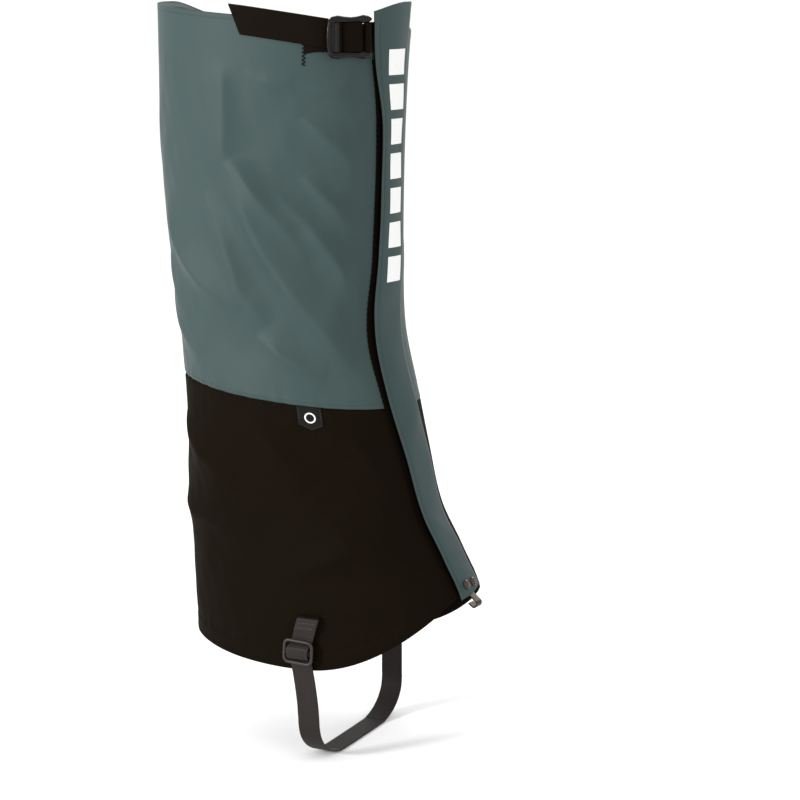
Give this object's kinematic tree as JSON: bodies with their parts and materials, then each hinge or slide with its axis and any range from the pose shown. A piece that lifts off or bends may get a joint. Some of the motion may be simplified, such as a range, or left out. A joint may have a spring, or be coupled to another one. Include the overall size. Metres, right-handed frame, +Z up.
{
  "type": "hiking gaiter",
  "caption": "Knee-high fabric gaiter for the right boot, with a front hook-and-loop flap, a top webbing strap with a ladder lock, a lace hook and an adjustable instep strap.",
  "frame": {"origin": "on the inner face of the instep strap, under the middle of the boot's sole", "axes": "+X towards the toe, -Y the outer side of the right leg, +Z up the leg"},
  "size_m": [0.2386, 0.1422, 0.5129],
  "materials": {
    "upper_fabric": "matte coated weave",
    "lower_fabric": "matte heavy weave",
    "tape": "matte",
    "webbing": "ribbed weave",
    "instep_webbing": "smooth coated webbing",
    "buckle_plastic": "satin acetal",
    "hook_metal": "dull bronze",
    "rivet_metal": "polished",
    "print": "reflective print",
    "thread": "thread"
  },
  "bodies": {
    "leg_tube": {"upper_outer_panel": "upper_fabric", "upper_inner_panel": "upper_fabric", "lower_outer_panel": "lower_fabric", "lower_inner_panel": "lower_fabric", "back_seam_tape": "tape", "mid_seam_tape": "tape", "top_tunnel_facing": "upper_fabric", "hem_facing": "lower_fabric", "loop_tape": "tape", "top_strap": "webbing", "strap_exit_bartack": "thread", "buckle_anchor_loop": "webbing", "woven_label": "tape", "label_mark": "print"},
    "flap": {"front_flap": "upper_fabric", "flap_facing": "lower_fabric", "hook_tape": "tape", "flap_reflective_print": "print", "lace_hook": "hook_metal", "lace_hook_rivets": "rivet_metal"},
    "buckle": {"ladder_lock": "buckle_plastic", "top_strap_loop": "webbing"},
    "strap_tail": {"top_strap_tail": "webbing"},
    "instep_loop": {"instep_tab": "webbing", "instep_strap": "instep_webbing", "strap_slider": "buckle_plastic", "strap_stitching": "thread"}
  },
  "joints": [
    {"name": "flap_open", "type": "hinge", "parent": "leg_tube", "child": "flap", "pos_m": [0.09099, 0.01012, 0.115], "axis": [-0.1323, 0.0049, 0.9912], "range_deg": [0, 100]},
    {"name": "buckle_tilt", "type": "hinge", "parent": "leg_tube", "child": "buckle", "pos_m": [0.03035, -0.03782, 0.4895], "axis": [0, 0, 1], "range_deg": [0, 50]},
    {"name": "strap_tail_pull", "type": "slide", "parent": "buckle", "child": "strap_tail", "axis": [-0.6334, -0.7738, 0], "range_m": [0, 0.03]},
    {"name": "instep_strap_swing", "type": "hinge", "parent": "leg_tube", "child": "instep_loop", "pos_m": [-0.00278, 0, 0.1], "axis": [0, 1, 0], "range_deg": [-40, 40]}
  ]
}
